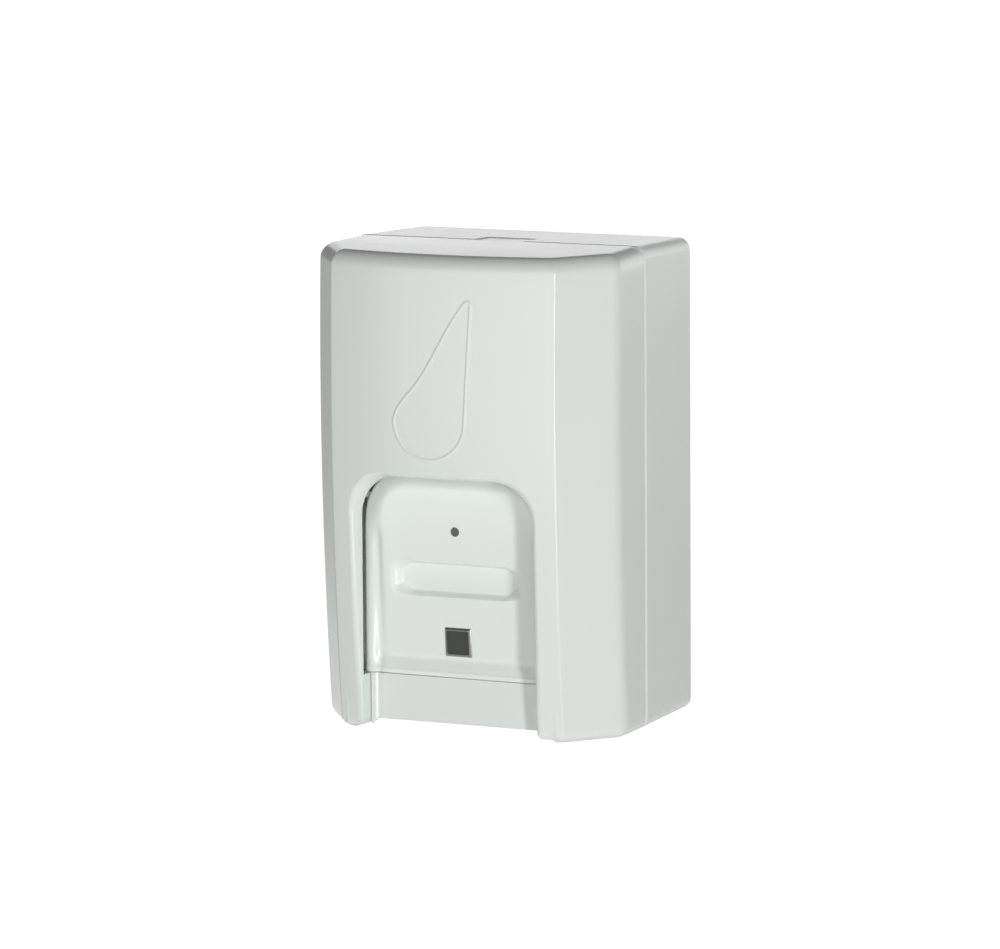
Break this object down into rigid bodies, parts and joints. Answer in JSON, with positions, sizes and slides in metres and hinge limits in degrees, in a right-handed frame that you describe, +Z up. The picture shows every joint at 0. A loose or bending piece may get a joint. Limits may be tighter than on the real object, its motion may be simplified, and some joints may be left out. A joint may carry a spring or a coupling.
{
  "type": "wall mounted soap dispenser",
  "caption": "Wall mounted push-lever soap dispenser: bowed white cover hinged at the foot on a wall housing, with soap tank, piston pump and drip nozzle inside.",
  "frame": {"origin": "centre of the four wall screw holes on the back face, at half the height", "axes": "+Y into the wall, +Z up, +X to the right as seen from the front"},
  "size_m": [0.1438, 0.1136, 0.21],
  "materials": {
    "housing_white": "fine satin moulding",
    "cover_white": "fine satin moulding",
    "lever_white": "fine satin moulding",
    "latch_white": "fine satin moulding",
    "pump_white": "moulded",
    "tank_clear": "translucent moulding",
    "badge_light": "satin",
    "badge_dark": "satin",
    "sight_grey": "polished",
    "seal_rubber": "moulded",
    "steel": "bright"
  },
  "bodies": {
    "base": {"rear_housing": "housing_white", "hinge_pins": "steel", "soap_tank": "tank_clear", "tank_screws": "steel", "tank_lid": "tank_clear", "lid_gasket": "seal_rubber", "tank_seal": "seal_rubber", "pump_body": "pump_white", "pump_screws": "steel", "channel_plug": "pump_white", "nozzle": "pump_white", "outlet_valve": "seal_rubber", "gland_nut": "pump_white"},
    "cover": {"front_cover": "cover_white", "lower_apron": "cover_white", "apron_screws": "steel", "lever_pin": "steel", "pin_clips": "steel", "cover_catch": "pump_white", "catch_screws": "steel"},
    "lever": {"push_lever": "lever_white", "sight_window": "sight_grey", "badge_frame": "badge_light", "badge_plate": "badge_dark", "pusher_pad": "pump_white"},
    "plunger": {"pump_plunger": "pump_white", "piston_seal": "seal_rubber", "plunger_head": "pump_white", "plunger_spring": "steel"},
    "latch": {"latch_button": "latch_white", "latch_clip": "steel", "latch_spring": "steel"},
    "ball": {"inlet_ball": "steel"}
  },
  "joints": [
    {"name": "cover_hinge", "type": "hinge", "parent": "base", "child": "cover", "pos_m": [0, -0.0525, -0.1026], "axis": [1, 0, 0], "range_deg": [0, 80]},
    {"name": "lever_push", "type": "hinge", "parent": "cover", "child": "lever", "pos_m": [0, -0.0895, -0.004], "axis": [1, 0, 0], "range_deg": [0, 8], "stiffness_Nm_per_rad": 1.35},
    {"name": "plunger_slide", "type": "slide", "parent": "base", "child": "plunger", "axis": [0, 1, 0], "range_m": [0, 0.0083], "deforming": ["plunger_spring"]},
    {"name": "latch_press", "type": "slide", "parent": "base", "child": "latch", "axis": [0, 0, -1], "range_m": [0, 0.003], "stiffness_N_per_m": 300, "deforming": ["latch_spring"]},
    {"name": "inlet_ball_lift", "type": "slide", "parent": "base", "child": "ball", "axis": [0, 0, 1], "range_m": [0, 0.0011]}
  ],
  "couplings": [
    {"joint": "plunger_slide", "follows": "lever_push", "m_per_rad": 0.058}
  ]
}
